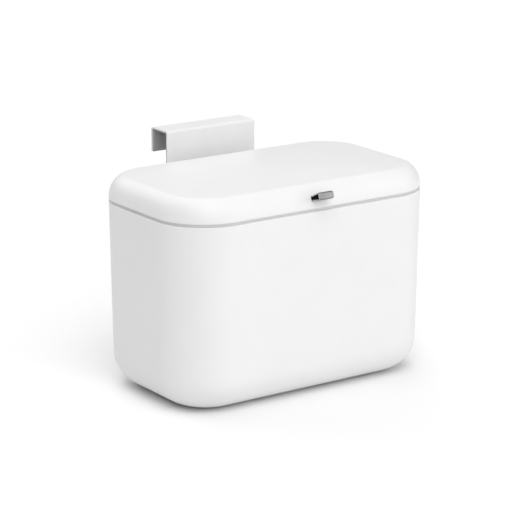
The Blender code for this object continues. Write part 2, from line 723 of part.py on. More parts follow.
def make_pull_tab(finish):
    """A strip folded to a U: parallel legs in the lid, which then spread towards the front."""
    half = TAB_HEIGHT / 2
    root = TAB_ROOT_HEIGHT / 2
    inner_root = root - TAB_SHEET
    bend_centre = (TAB_REACH - TAB_BEND, half - TAB_BEND)
    outer = [(-TAB_TAIL, root), (0, root)] + arc(bend_centre, TAB_BEND, math.pi / 2, 0, BEND_STEPS)
    inner = arc(bend_centre, TAB_BEND - TAB_SHEET, 0, math.pi / 2, BEND_STEPS)
    inner += [(0, inner_root), (-TAB_TAIL, inner_root)]
    outline = outer + [(out, -up) for out, up in outer[::-1]]
    outline += [(out, -up) for out, up in inner[::-1]] + inner
    bm = bmesh.new()
    half_width = TAB_WIDTH / 2
    add_side_profile(bm, [tab_point(out, up) for out, up in outline], (-half_width, half_width))
    tab = piece("pull_tab", bm, finish)

    envelope = bmesh.new()
    face = rounded_rect(-half_width, half_width, -half, half, TAB_CORNER, BEND_STEPS)
    rings = []
    for out in (-TAB_TAIL - CUT_OVERLAP, TAB_REACH + CUT_OVERLAP):
        rings.append([(x, *tab_point(out, up)) for x, up in face])
    add_loft(envelope, rings)
    combine(tab, envelope, "INTERSECT")


def make_tab_keeper(finish):
    """A push-on plate behind the lid's wall that holds the pull tab's two legs."""
    bm = bmesh.new()
    span = (-KEEPER_OFFSET - KEEPER_THICKNESS, -KEEPER_OFFSET)
    tab_slab(bm, (-KEEPER_HALF_WIDTH, KEEPER_HALF_WIDTH), span, (-KEEPER_HALF_HEIGHT, KEEPER_HALF_HEIGHT))
    keeper = piece("tab_keeper", bm, finish)
    slits = bmesh.new()
    add_tab_slits(slits, (span[0] - CUT_OVERLAP, span[1] + CUT_OVERLAP))
    combine(keeper, slits, "DIFFERENCE")


# ---------------------------------------------------------------- odour filter


def make_filter_cover(finish):
    """A vented cap with a grip bar, held in the liner by lugs above its plate."""
    top = LINER_BOTTOM - CLEAR
    bottom = top - COVER_THICKNESS
    lug_low = LINER_TOP + CLEAR
    lug_high = lug_low + LUG_HEIGHT
    profile = [(COVER_RADIUS, bottom), (COVER_RADIUS, top), (COVER_COLLAR, top), (COVER_COLLAR, lug_high)]
    profile += [(COVER_COLLAR - COVER_COLLAR_WALL, lug_high), (COVER_COLLAR - COVER_COLLAR_WALL, top)]
    bm = bmesh.new()
    add_turned(bm, profile, (0, FILTER_Y, 0), "Z", DISC_STEPS)
    cover = piece("filter_cover", bm, finish)

    additions = bmesh.new()
    for lug in range(LUG_COUNT):
        middle = lug * 2 * math.pi / LUG_COUNT
        first, last = middle - LUG_HALF_ANGLE, middle + LUG_HALF_ANGLE
        outline = arc((0, FILTER_Y), LUG_REACH, first, last, LUG_STEPS)
        outline += arc((0, FILTER_Y), COVER_COLLAR - COVER_COLLAR_WALL / 2, last, first, LUG_STEPS)
        add_loft(additions, [at_height(outline, z) for z in (lug_low, lug_high - SMALL_EDGE / 2)])
    grip_y = (FILTER_Y - GRIP_HALF_LENGTH, FILTER_Y + GRIP_HALF_LENGTH)
    grip = rounded_rect(-GRIP_HALF_WIDTH, GRIP_HALF_WIDTH, *grip_y, GRIP_CORNER, BEND_STEPS)
    add_loft(additions, [at_height(grip, z) for z in (bottom - GRIP_HEIGHT, bottom + SMALL_EDGE)])
    combine(cover, additions, "UNION")

    vents = bmesh.new()
    for row in range(VENT_ROWS):
        x = VENT_FIRST_X + row * VENT_PITCH
        half_length = math.sqrt(VENT_REACH ** 2 - x ** 2)
        y_range = (FILTER_Y - half_length, FILTER_Y + half_length)
        for _, side in SIDES:
            x_range = (side * x - VENT_HALF_WIDTH, side * x + VENT_HALF_WIDTH)
            add_box(vents, x_range, y_range, (bottom - CUT_OVERLAP, top + CUT_OVERLAP))
    combine(cover, vents, "DIFFERENCE")


def make_charcoal_filter(finish):
    bm = bmesh.new()
    radius, height, edge = CHARCOAL_RADIUS, CHARCOAL_HEIGHT, CHARCOAL_EDGE
    profile = [(radius - edge, 0), (radius, edge), (radius, height - edge), (radius - edge, height)]
    add_turned(bm, profile, (0, FILTER_Y, LINER_BOTTOM), "Z", DISC_STEPS)
    piece("charcoal_filter", bm, finish)


# ---------------------------------------------------------------- hook


def hook_section(lift):
    """The folded sheet's (y, z) outline, both free ends raised by lift."""
    inner_bend = HOOK_BEND - HOOK_SHEET
    back_y = HOOK_FRONT_Y + HOOK_DEPTH
    bend_z = HOOK_TOP_Z - HOOK_BEND
    front_centre = (HOOK_FRONT_Y + HOOK_BEND, bend_z)
    back_centre = (back_y - HOOK_BEND, bend_z)
    half_turn, quarter = math.pi, math.pi / 2
    outline = [(HOOK_FRONT_Y, HOOK_LEG_BOTTOM_Z + lift)]
    outline += arc(front_centre, HOOK_BEND, half_turn, quarter, BEND_STEPS)
    outline += arc(back_centre, HOOK_BEND, quarter, 0, BEND_STEPS)
    outline += [(back_y, HOOK_BACK_BOTTOM_Z + lift), (back_y - HOOK_SHEET, HOOK_BACK_BOTTOM_Z + lift)]
    outline += arc(back_centre, inner_bend, 0, quarter, BEND_STEPS)
    outline += arc(front_centre, inner_bend, quarter, half_turn, BEND_STEPS)
    outline += [(LEG_BACK_Y, HOOK_LEG_BOTTOM_Z + lift)]
    return outline


def make_hook_bracket(finish):
    """The over-door hook, with rounded lower corners and a keyhole for each stud."""
    half = HOOK_WIDTH / 2
    stations = []
    for angle in edge_angles(BEND_STEPS):
        stations.append((HOOK_CORNER * (1 - math.cos(angle)), HOOK_CORNER * (1 - math.sin(angle))))
    sections = [(-half + inset, lift) for inset, lift in stations]
    sections += [(half - inset, lift) for inset, lift in stations[::-1]]
    bm = bmesh.new()
    add_loft(bm, [[(x, y, z) for y, z in hook_section(lift)] for x, lift in sections])
    hook = piece("hook_bracket", bm, finish)

    slot = STUD_RADIUS + CLEAR
    big_z = STUD_Z + KEYHOLE_RISE
    join = math.asin(slot / KEYHOLE_RADIUS)
    keyhole = arc((0, STUD_Z), slot, math.pi, 2 * math.pi, SCREW_STEPS)
    keyhole += arc((0, big_z), KEYHOLE_RADIUS, join - math.pi / 2, 1.5 * math.pi - join, ROUND_STEPS)
    cut_span = (HOOK_FRONT_Y - CUT_OVERLAP, LEG_BACK_Y + CUT_OVERLAP)
    cuts = bmesh.new()
    for _, side in SIDES:
        rings = [[(side * STUD_X + x, y, z) for x, z in keyhole] for y in cut_span]
        add_loft(cuts, rings)
    combine(hook, cuts, "DIFFERENCE")


def make_hook_pads(finish):
    """Thin pads on the three inner faces of the channel."""
    back = HOOK_FRONT_Y + HOOK_DEPTH - HOOK_SHEET - PAD_GAP
    top = HOOK_TOP_Z - HOOK_SHEET - PAD_GAP
    top_span = (LEG_BACK_Y + TOP_PAD_MARGIN, back + PAD_GAP - TOP_PAD_MARGIN)
    spans = {
        "front": ((LEG_BACK_Y + PAD_GAP, DOOR_FACE_Y), (FRONT_PAD_BOTTOM_Z, PAD_TOP_Z)),
        "top": (top_span, (top - TOP_PAD_THICKNESS, top)),
        "back": ((back - PAD_THICKNESS, back), (BACK_PAD_BOTTOM_Z, PAD_TOP_Z)),
    }
    for name, (y_range, z_range) in spans.items():
        bm = bmesh.new()
        add_box(bm, (-PAD_HALF_X, PAD_HALF_X), y_range, z_range)
        piece(f"hook_pad_{name}", bm, finish)


# ---------------------------------------------------------------- assembly


def make_body_side(white, grey, steel, rubber, zinc):
    make_body_shell(white)
    make_collar_frame(grey)
    make_inner_bucket(grey)
    make_bracket_screws(steel)
    make_hook_mount_plate(white)
    make_mount_plate_screws(steel)
    make_feet(rubber)
    for side_name, side in SIDES:
        make_hinge_bracket(side_name, side, zinc)
        make_hook_stud(side_name, side, steel)
        make_rear_bumper(side_name, side, rubber)


def make_lid_side(white, grey, steel, seal):
    make_lid_shell(white)
    make_lid_liner(grey)
    make_lid_seal(seal)
    make_liner_screws(steel)
    make_pull_tab(steel)
    make_tab_keeper(steel)
    for side_name, side in SIDES:
        make_hinge_pin(side_name, side, steel)


def centre_footprint(frame):
    """Move everything so that the middle of the footprint, from pull tab to hook, is at the origin."""
    front = TAB_ROOT_Y - TAB_REACH * math.cos(TAB_TILT) - (TAB_HEIGHT / 2 - TAB_BEND) * math.sin(TAB_TILT)
    front -= TAB_BEND * (1 - math.cos(TAB_TILT))
    back = HOOK_FRONT_Y + HOOK_DEPTH
    frame.location.y = -(front + back) / 2


def main():
    for item in list(bpy.data.objects):
        bpy.data.objects.remove(item, do_unlink=True)
    frame = bpy.data.objects.new("caddy", None)
    bpy.context.collection.objects.link(frame)

    white = material("white_plastic", (0.86, 0.86, 0.86), 0.42)
    grey = material("light_grey_plastic", (0.62, 0.62, 0.62), 0.5)
    coated = material("white_coated_steel", (0.82, 0.82, 0.82), 0.5)
    steel = material("steel", (0.45, 0.45, 0.45), 0.35, 1.0)
    zinc = material("die_cast_zinc", (0.5, 0.5, 0.5), 0.45, 1.0)
    seal = material("silicone_seal", (0.55, 0.55, 0.55), 0.6)
    rubber = material("dark_rubber", (0.05, 0.05, 0.05), 0.8)
    foam = material("pad_foam", (0.16, 0.16, 0.16), 0.9)
    charcoal = material("charcoal_felt", (0.03, 0.03, 0.03), 0.95)

    make_body_side(white, grey, steel, rubber, zinc)
    make_lid_side(white, grey, steel, seal)
    make_filter_cover(grey)
    make_charcoal_filter(charcoal)
    make_hook_bracket(coated)
    make_hook_pads(foam)
    centre_footprint(frame)


main()
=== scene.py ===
"""Looks of the over-door kitchen waste caddy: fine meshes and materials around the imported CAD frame.

Lengths are in metres, +Z is up, the front faces -Y. Sizes and some heights repeat the CAD model's
driving dimensions, and other places come from the frame's own boxes.
"""

import json
import math

import bmesh
import bpy
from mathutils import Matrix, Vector


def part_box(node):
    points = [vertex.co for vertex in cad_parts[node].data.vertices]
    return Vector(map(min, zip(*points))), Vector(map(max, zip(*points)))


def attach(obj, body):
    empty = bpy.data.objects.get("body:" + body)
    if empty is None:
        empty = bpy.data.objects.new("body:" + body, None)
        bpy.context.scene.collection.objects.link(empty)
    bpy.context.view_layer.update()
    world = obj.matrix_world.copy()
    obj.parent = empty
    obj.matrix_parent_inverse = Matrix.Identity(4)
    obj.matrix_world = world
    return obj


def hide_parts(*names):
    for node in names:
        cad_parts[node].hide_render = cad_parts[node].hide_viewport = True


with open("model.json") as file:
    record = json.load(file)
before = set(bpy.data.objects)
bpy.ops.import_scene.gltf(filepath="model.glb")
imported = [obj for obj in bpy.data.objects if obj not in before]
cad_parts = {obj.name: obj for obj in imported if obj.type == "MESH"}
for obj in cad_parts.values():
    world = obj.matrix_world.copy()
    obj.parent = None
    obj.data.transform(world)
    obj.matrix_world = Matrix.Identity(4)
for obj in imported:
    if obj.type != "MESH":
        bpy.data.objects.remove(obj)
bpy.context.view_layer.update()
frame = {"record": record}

body_low, body_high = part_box("body_shell")
lid_low, lid_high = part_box("lid_shell")

MID_Y = (lid_low.y + lid_high.y) / 2
WIDTH = lid_high.x - lid_low.x
DEPTH = lid_high.y - lid_low.y
FOOT_PROUD = body_low.z
BODY_TOP = body_high.z
LID_BOTTOM = lid_low.z
LID_TOP = lid_high.z
SEAM_Z = (BODY_TOP + LID_BOTTOM) / 2

# Shells.
PLAN_RADIUS = 0.0446
TAPER_X = 0.0016
TAPER_Y = 0.0022
BASE_RADIUS = 0.0279
LID_FILLET = 0.0142
LID_SHOULDER_Z = 0.1767
CROWN_POWER = 1.3
BODY_WALL = 0.0024
LID_WALL = 0.0022

# Collar with its hinge channel.
DECK_RECESS = 0.0009
DECK_BLEND_FROM = 0.0050
DECK_BLEND_RUN = 0.0030
OPENING_INSET = 0.0130
OPENING_BACK = 0.0460
SKIRT_GAP = 0.0003
SKIRT_WALL = 0.0018
CHANNEL_HALF_X = 0.1080
CHANNEL_FRONT = 0.0572
CHANNEL_WALL = 0.0017
CHANNEL_FLOOR_Z = 0.1526
NOTCH_HEIGHT = 0.1522

# Bucket.
BUCKET_WALL = 0.0018
BUCKET_GAP = 0.0008
BUCKET_DRAFT = 0.0050
BUCKET_BASE_RADIUS = 0.0120
BUCKET_RIM_HEIGHT = 0.0018
BUCKET_RIM_REACH = 0.0053

# Hinges and feet.
KNUCKLE_RADIUS = 0.0036
EAR_SPAN = (0.0049, 0.0079)
POCKET_GAP = 0.0003

# Filter.
LUG_COUNT = 3
HOLE_RADIUS = 0.0380
NOTCH_RADIUS = 0.0408
COVER_RADIUS = 0.0415
COVER_SHEET = 0.0015
GRIP_HALF_X = 0.0021
GRIP_HALF_Y = 0.026

# Pull tab.
TAB_ROOT_Y = -0.0729
TAB_ROOT_Z = 0.1668
TAB_TILT = math.radians(21)
TAB_HALF_WIDTH = 0.0071
TAB_HALF_HEIGHT = 0.0032
TAB_ROOT_HALF = 0.00205
TAB_SHEET = 0.0009
TAB_REACH = 0.0112
TAB_TAIL = 0.0052
TAB_BEND = 0.0015
TAB_CORNER = 0.0020
TAB_FIT = 0.0002

SIDES = (-1, 1)
SIDE_NAMES = ("left", "right")

# Straight sides of a rounded_rect left as single edges.
UNDIVIDED = (1, 1)


# ---------------------------------------------------------------- outlines and meshes


def arc(centre, radius, start, end, steps):
    """Points on an arc from start to end, in radians, both ends included."""
    points = []
    for step in range(steps + 1):
        angle = start + (end - start) * step / steps
        points.append((centre[0] + radius * math.cos(angle), centre[1] + radius * math.sin(angle)))
    return points


def rounded_rect(x0, x1, y0, y1, radius, steps=22, straight=(14, 8)):
    """A rectangle with round corners, counter-clockwise, its straight sides divided into short edges."""
    quarter = math.pi / 2
    corners = ((x1, y1, -1, -1), (x0, y1, 1, -1), (x0, y0, 1, 1), (x1, y0, -1, 1))
    points = []
    for turn, (x, y, inward_x, inward_y) in enumerate(corners):
        centre = (x + inward_x * radius, y + inward_y * radius)
        bend = arc(centre, radius, turn * quarter, (turn + 1) * quarter, steps)
        points += bend
        after_x, after_y, next_in_x, next_in_y = corners[(turn + 1) % 4]
        next_centre = (after_x + next_in_x * radius, after_y + next_in_y * radius)
        angle = (turn + 1) * quarter
        target = (next_centre[0] + radius * math.cos(angle), next_centre[1] + radius * math.sin(angle))
        count = straight[turn % 2]
        for step in range(1, count):
            share = step / count
            points.append(tuple(a + (b - a) * share for a, b in zip(bend[-1], target)))
    return points


def fillet(corners, closed=False, steps=5):
    """A path through (u, v, radius) corners, each rounded to its own radius."""
    path = []
    count = len(corners)
    for index, (u, v, radius) in enumerate(corners):
        at_end = index in (0, count - 1) and not closed
        if radius <= 0 or at_end:
            path.append((u, v))
            continue
        here = Vector((u, v))
        before = Vector(corners[index - 1][:2]) - here
        after = Vector(corners[(index + 1) % count][:2]) - here
        half = before.angle(after) / 2
        run = min(radius / math.tan(half), 0.49 * before.length, 0.49 * after.length)
        radius = run * math.tan(half)
        before.normalize()
        after.normalize()
        centre = here + (before + after).normalized() * (radius / math.sin(half))
        start = here + before * run - centre
        end = here + after * run - centre
        turn = start.angle_signed(end)
        for step in range(steps + 1):
            angle = -turn * step / steps
            sine, cosine = math.sin(angle), math.cos(angle)
            x = start.x * cosine - start.y * sine
            y = start.x * sine + start.y * cosine
            path.append((centre.x + x, centre.y + y))
    return path


def quarter_round(steps):
    """(rise, pull) shares of a radius along a quarter turn, from a flat bottom to the upright wall."""
    for step in range(steps + 1):
        angle = math.pi / 2 * step / steps
        yield 1 - math.cos(angle), 1 - math.sin(angle)


def at_height(outline, z):
    """An (x, y) outline about the caddy's middle, as points at height z."""
    return [(x, MID_Y + y, z) for x, y in outline]


def body_ring(inset, z):
    """The tapered body's outline at height z, moved in from its outer face by inset."""
    share = (SEAM_Z - z) / (SEAM_Z - FOOT_PROUD)
    half_x = WIDTH / 2 - TAPER_X * share - inset
    half_y = DEPTH / 2 - TAPER_Y * share - inset
    return at_height(rounded_rect(-half_x, half_x, -half_y, half_y, PLAN_RADIUS - inset), z)


def lid_ring(inset, z, share=1.0):
    """The lid's outline moved in by inset, then scaled about the middle by share."""
    half_x = WIDTH / 2 - inset
    half_y = DEPTH / 2 - inset
    outline = rounded_rect(-half_x, half_x, -half_y, half_y, PLAN_RADIUS - inset)
    return at_height([(x * share, y * share) for x, y in outline], z)


def opening_ring(inset, z):
    """The bucket opening's family of outlines; at an inset of OPENING_INSET it is the collar's inner edge."""
    half_x = WIDTH / 2 - inset
    front = DEPTH / 2 - inset
    back = OPENING_BACK + OPENING_INSET - inset
    return at_height(rounded_rect(-half_x, half_x, -front, back, PLAN_RADIUS - inset), z)


def deck_ring(inset, z):
    """Follows the body's outline near the wall and the bucket opening's further in."""
    share = min(max((inset - DECK_BLEND_FROM) / DECK_BLEND_RUN, 0), 1)
    if share == 0:
        return body_ring(inset, z)
    if share == 1:
        return opening_ring(inset, z)
    outer, inner = body_ring(inset, z), opening_ring(inset, z)
    return [tuple(a + (b - a) * share for a, b in zip(p, q)) for p, q in zip(outer, inner)]


def add_loft(bm, rings, closed=False):
    """Skin a row of rings; the ends are capped, or joined to each other when closed is true."""
    rows = [[bm.verts.new(point) for point in ring] for ring in rings]
    pairs = list(zip(rows, rows[1:]))
    if closed:
        pairs.append((rows[-1], rows[0]))
    else:
        bm.faces.new(rows[0])
        bm.faces.new(rows[-1])
    for low, high in pairs:
        count = len(low)
        for i in range(count):
            j = (i + 1) % count
            bm.faces.new((low[i], low[j], high[j], high[i]))


def add_turned(bm, profile, centre, axis, steps=48):
    """A solid turned about the line through centre along axis, from (radius, distance along it) pairs."""
    rings = []
    for radius, along in profile:
        ring = []
        for a, b in arc((0, 0), radius, 0, 2 * math.pi, steps)[:-1]:
            offsets = {"X": (along, a, b), "Y": (a, along, b), "Z": (a, b, along)}[axis]
            ring.append(tuple(c + o for c, o in zip(centre, offsets)))
        rings.append(ring)
    add_loft(bm, rings)


def add_prism(bm, outline, z_range):
    """An (x, y) outline stretched along Z."""
    add_loft(bm, [[(x, y, z) for x, y in outline] for z in z_range])


def add_box(bm, low, high):
    outline = [(low[0], low[1]), (high[0], low[1]), (high[0], high[1]), (low[0], high[1])]
    add_prism(bm, outline, (low[2], high[2]))


def add_side_profile(bm, outline, x_range):
    """A (y, z) outline stretched along X."""
    add_loft(bm, [[(x, y, z) for y, z in outline] for x in x_range])


def new_object(name, bm):
    """An object made from a bmesh, which is used up."""
    bmesh.ops.recalc_face_normals(bm, faces=bm.faces)
    mesh = bpy.data.meshes.new(name)
    bm.to_mesh(mesh)
    bm.free()
    item = bpy.data.objects.new(name, mesh)
    bpy.context.scene.collection.objects.link(item)
    return item


def settle(item):
    """Apply the object's modifiers to its mesh."""
    depsgraph = bpy.context.evaluated_depsgraph_get()
    mesh = bpy.data.meshes.new_from_object(item.evaluated_get(depsgraph))
    item.modifiers.clear()
    item.data = mesh


def combine(item, bm, operation):
    """Join a bmesh to an object, or cut the object with it."""
    tool = new_object(f"{item.name}_tool", bm)
    modifier = item.modifiers.new(operation, "BOOLEAN")
    modifier.operation = operation
    modifier.solver = "EXACT"
    modifier.object = tool
    settle(item)
    bpy.data.objects.remove(tool, do_unlink=True)


def soften(item, width, segments=2, limit=35):
    """Round the sharp edges of an object."""
    modifier = item.modifiers.new("edges", "BEVEL")
    modifier.width = width
    modifier.segments = segments
    modifier.limit_method = "ANGLE"
    modifier.angle_limit = math.radians(limit)
    settle(item)


def dress(item, node, slot, *materials, sharp=40):
    """Give a finished mesh its materials, smooth shading and place in the frame."""
    item.data.materials.clear()
    for look in materials:
        item.data.materials.append(look)
    item.data.shade_smooth()
    item.data.set_sharp_from_angle(angle=math.radians(sharp))
    for body, nodes in frame["record"]["behaviour"]["bodies"].items():
        if node in nodes:
            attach(item, body)
    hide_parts(node)


def hinge_pivot(name):
    """The middle of one hinge pin, on the lid's axis."""
    pin_low, pin_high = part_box(f"hinge_pin_{name}")
    return (pin_low + pin_high) / 2


# ---------------------------------------------------------------- materials


class Nodes:
    """A short way to build a material's node tree."""

    noise_range = (0.3, 0.7)

    def __init__(self, name):
        self.material = bpy.data.materials.new(name)
        self.material.use_nodes = True
        self.tree = self.material.node_tree
        self.shader = self.tree.nodes["Principled BSDF"]
        self.place = self.tree.nodes.new("ShaderNodeTexCoord").outputs["Object"]

    def add(self, kind, **settings):
        node = self.tree.nodes.new(kind)
        for key, value in settings.items():
            setattr(node, key, value)
        return node

    def link(self, source, target):
        self.tree.links.new(source, target)

    def noise(self, scale, detail=3.0, stretch=(1, 1, 1)):
        mapping = self.add("ShaderNodeMapping")
        mapping.inputs["Scale"].default_value = stretch
        self.link(self.place, mapping.inputs["Vector"])
        texture = self.add("ShaderNodeTexNoise")
        texture.inputs["Scale"].default_value = scale
        texture.inputs["Detail"].default_value = detail
        self.link(mapping.outputs["Vector"], texture.inputs["Vector"])
        return texture.outputs["Fac"]

    def spread(self, source, low, high):
        """The noise's usual range stretched to run from low to high."""
        ramp = self.add("ShaderNodeMapRange")
        ramp.inputs["From Min"].default_value = self.noise_range[0]
        ramp.inputs["From Max"].default_value = self.noise_range[1]
        ramp.inputs["To Min"].default_value = low
        ramp.inputs["To Max"].default_value = high
        self.link(source, ramp.inputs["Value"])
        return ramp.outputs["Result"]

    def tint(self, source, low, high):
        mix = self.add("ShaderNodeMix", data_type="RGBA")
        mix.inputs["A"].default_value = (*low, 1)
        mix.inputs["B"].default_value = (*high, 1)
        self.link(self.spread(source, 0, 1), mix.inputs["Factor"])
        self.link(mix.outputs["Result"], self.shader.inputs["Base Color"])

    def relief(self, source, distance, strength):
        bump = self.add("ShaderNodeBump")
        bump.inputs["Distance"].default_value = distance
        bump.inputs["Strength"].default_value = strength
        self.link(source, bump.inputs["Height"])
        self.link(bump.outputs["Normal"], self.shader.inputs["Normal"])


def moulded(name, low, high, roughness, grain, depth):
    """Injection-moulded plastic, rubber or paint: cloudy tint, uneven gloss and a fine surface texture."""
    nodes = Nodes(name)
    nodes.tint(nodes.noise(scale=38, detail=4), low, high)
    gloss = nodes.spread(nodes.noise(scale=140, detail=5), *roughness)
    nodes.link(gloss, nodes.shader.inputs["Roughness"])
    nodes.relief(nodes.noise(grain, detail=2), depth, strength=0.35)
    return nodes.material


def brushed(name, low, high, roughness, stretch, grain=900):
    """Metal with fine parallel brush lines."""
    nodes = Nodes(name)
    lines = nodes.noise(grain, detail=4, stretch=stretch)
    nodes.tint(lines, low, high)
    nodes.link(nodes.spread(lines, *roughness), nodes.shader.inputs["Roughness"])
    nodes.relief(lines, distance=0.00002, strength=0.3)
    nodes.shader.inputs["Metallic"].default_value = 1.0
    return nodes.material


def grey(value):
    return (value, value, value)


WHITE = moulded("white_moulding", grey(0.800), grey(0.812), (0.40, 0.47), 2600, 0.00003)
LIGHT = moulded("light_grey_moulding", grey(0.60), grey(0.62), (0.44, 0.52), 2600, 0.00003)
COATED = moulded("white_powder_coat", grey(0.765), grey(0.785), (0.46, 0.56), 1500, 0.00006)
SEAL = moulded("silicone", grey(0.52), grey(0.56), (0.50, 0.60), 1800, 0.00003)
RUBBER = moulded("black_rubber", grey(0.030), grey(0.045), (0.70, 0.85), 1700, 0.00008)
FOAM = moulded("grey_foam", grey(0.32), grey(0.39), (0.85, 0.95), 1100, 0.00025)
FELT = moulded("charcoal_felt_surface", grey(0.018), grey(0.045), (0.92, 1.0), 700, 0.0006)
ZINC = moulded("cast_zinc", grey(0.46), grey(0.52), (0.40, 0.50), 1500, 0.00006)
ZINC.node_tree.nodes["Principled BSDF"].inputs["Metallic"].default_value = 1.0
STEEL = brushed("turned_steel", grey(0.50), grey(0.60), (0.25, 0.36), (1, 1, 6))
TAB_FACE = brushed("tab_brushed_face", grey(0.35), grey(0.39), (0.46, 0.56), (0.08, 1, 1), 2400)
# The tab's folds are the same steel painted darker: painted shade on the bends.
TAB_FOLD_PAINTED_SHADE = brushed("tab_fold_painted_shade", grey(0.24), grey(0.28), (0.36, 0.46), (0.08, 1, 1), 2400)
# The tab's cut edges are the same steel painted paler: a painted highlight.
TAB_EDGE_PAINTED_HIGHLIGHT = brushed("tab_cut_edge_painted_highlight", grey(0.50), grey(0.58), (0.40, 0.50), (1, 1, 1), 1800)
# Near-black painted shade for the tab's hollow and the keeper behind its slot, where there is only shade.
TAB_HOLLOW_PAINTED_SHADE = moulded("tab_hollow_painted_shade", grey(0.030), grey(0.045), (0.6, 0.7), 1500, 0.00004)


# ---------------------------------------------------------------- body side


def add_foot_pockets(bm):
    """Cutters for the four round pockets that the feet sit in."""
    for side in SIDE_NAMES:
        for end in ("front", "back"):
            low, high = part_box(f"foot_{end}_{side}")
            middle = (low + high) / 2
            radius = (high.x - low.x) / 2 + POCKET_GAP
            profile = [(radius, -0.001), (radius, high.z + POCKET_GAP)]
            add_turned(bm, profile, (middle.x, middle.y, 0), "Z")


def make_body():
    """The outer shell: tapered walls, a round base, a notch for the hinge channel and the feet's pockets."""
    inner_radius = BASE_RADIUS - BODY_WALL
    outer = []
    inner = []
    for rise, pull in quarter_round(18):
        outer.append(body_ring(BASE_RADIUS * pull, FOOT_PROUD + BASE_RADIUS * rise))
        inner_z = FOOT_PROUD + BODY_WALL + inner_radius * rise
        inner.append(body_ring(BODY_WALL + inner_radius * pull, inner_z))
    wall_steps = 10
    wall_low = FOOT_PROUD + BASE_RADIUS
    for step in range(1, wall_steps):
        z = wall_low + (BODY_TOP - wall_low) * step / wall_steps
        outer.append(body_ring(0, z))
        inner.append(body_ring(BODY_WALL, z))
    edge_low = BODY_TOP - 0.003
    edge = fillet([(0, edge_low, 0), (0, BODY_TOP, 0.0005), (BODY_WALL, BODY_TOP, 0.0004),
                   (BODY_WALL, edge_low, 0)])
    bm = bmesh.new()
    add_loft(bm, outer + [body_ring(inset, z) for inset, z in edge] + inner[::-1])
    body = new_object("body_shell_look", bm)
    cuts = bmesh.new()
    notch_low = FOOT_PROUD + NOTCH_HEIGHT
    add_box(cuts, (-CHANNEL_HALF_X, MID_Y + CHANNEL_FRONT, notch_low),
            (CHANNEL_HALF_X, MID_Y + DEPTH, LID_BOTTOM))
    add_foot_pockets(cuts)
    combine(body, cuts, "DIFFERENCE")
    dress(body, "body_shell", "white_plastic", WHITE)


def channel_outline(inset):
    """The hinge channel from above: straight walls, and the lid's outline moved in by inset at the back."""
    half_x = CHANNEL_HALF_X + CHANNEL_WALL
    front = CHANNEL_FRONT - CHANNEL_WALL
    outline = [(x, y) for x, y, _ in lid_ring(inset, 0) if y > MID_Y + front and abs(x) < half_x]
    from_centre = half_x - (WIDTH / 2 - PLAN_RADIUS)
    corner = MID_Y + DEPTH / 2 - PLAN_RADIUS + math.sqrt((PLAN_RADIUS - inset) ** 2 - from_centre ** 2)
    outline += [(-half_x, corner), (-half_x, MID_Y + front), (half_x, MID_Y + front), (half_x, corner)]
    return outline


def make_collar():
    """The frame in the body's mouth: a deck that shows in the seam, a skirt and the hinge channel."""
    low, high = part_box("collar_frame")
    deck_low = BODY_TOP + 0.0001
    deck_high = LID_BOTTOM - 0.00015
    skirt_out = BODY_WALL + SKIRT_GAP
    skirt_in = skirt_out + SKIRT_WALL
    section = fillet([
        (DECK_RECESS, deck_high, 0.0001), (0.0040, deck_high, 0), (0.0042, high.z, 0),
        (OPENING_INSET, high.z, 0.0005), (OPENING_INSET, deck_low, 0.0005),
        (skirt_in, deck_low, 0.0003), (skirt_in, low.z, 0.0004), (skirt_out, low.z, 0.0004),
        (skirt_out, deck_low, 0.0002), (DECK_RECESS, deck_low, 0.0001)], closed=True, steps=4)
    bm = bmesh.new()
    add_loft(bm, [deck_ring(inset, z) for inset, z in section], closed=True)
    collar = new_object("collar_frame_look", bm)
    block = bmesh.new()
    z_range = (CHANNEL_FLOOR_Z - CHANNEL_WALL, high.z - 0.0005)
    add_prism(block, channel_outline(skirt_out + 0.0006), z_range)
    combine(collar, block, "UNION")
    cut = bmesh.new()
    add_box(cut, (-CHANNEL_HALF_X, MID_Y + CHANNEL_FRONT, CHANNEL_FLOOR_Z),
            (CHANNEL_HALF_X, MID_Y + DEPTH, LID_BOTTOM))
    combine(collar, cut, "DIFFERENCE")
    dress(collar, "collar_frame", "grey_plastic", LIGHT)


def bucket_ring(inset, z, rim_low, bottom):
    """The bucket's outline at height z, narrower towards its bottom, moved in by inset."""
    draft = BUCKET_DRAFT * max(rim_low - z, 0) / (rim_low - bottom)
    return opening_ring(OPENING_INSET + BUCKET_GAP + draft + inset, z)


def make_bucket():
    """A tub with a round base and an outward rim that rests on the collar."""
    low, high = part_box("inner_bucket")
    rim_low = high.z - BUCKET_RIM_HEIGHT
    below_rim = rim_low - 0.020
    inner_radius = BUCKET_BASE_RADIUS - BUCKET_WALL
    path = []
    back = []
    for rise, pull in quarter_round(12):
        path.append((BUCKET_BASE_RADIUS * pull, low.z + BUCKET_BASE_RADIUS * rise))
        back.append((BUCKET_WALL + inner_radius * pull, low.z + BUCKET_WALL + inner_radius * rise))
    path += fillet([
        (0, below_rim, 0), (0, rim_low, 0.0008), (-BUCKET_RIM_REACH, rim_low, 0.0006),
        (-BUCKET_RIM_REACH, high.z, 0.0008), (BUCKET_WALL, high.z, 0.0016), (BUCKET_WALL, below_rim, 0)])
    bm = bmesh.new()
    add_loft(bm, [bucket_ring(inset, z, rim_low, low.z) for inset, z in path + back[::-1]])
    bucket = new_object("inner_bucket_look", bm)
    dress(bucket, "inner_bucket", "grey_plastic", LIGHT)


def make_turned(node, slot, look, profile, axis, steps=48, cut=None):
    """A turned piece on the middle of its CAD box, its profile's lengths measured from the box's low end."""
    low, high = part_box(node)
    centre = (low + high) / 2
    setattr(centre, axis.lower(), getattr(low, axis.lower()))
    bm = bmesh.new()
    add_turned(bm, fillet(profile, steps=4), centre, axis, steps)
    item = new_object(f"{node}_look", bm)
    if cut is not None:
        combine(item, cut(low, high), "DIFFERENCE")
    dress(item, node, slot, look)


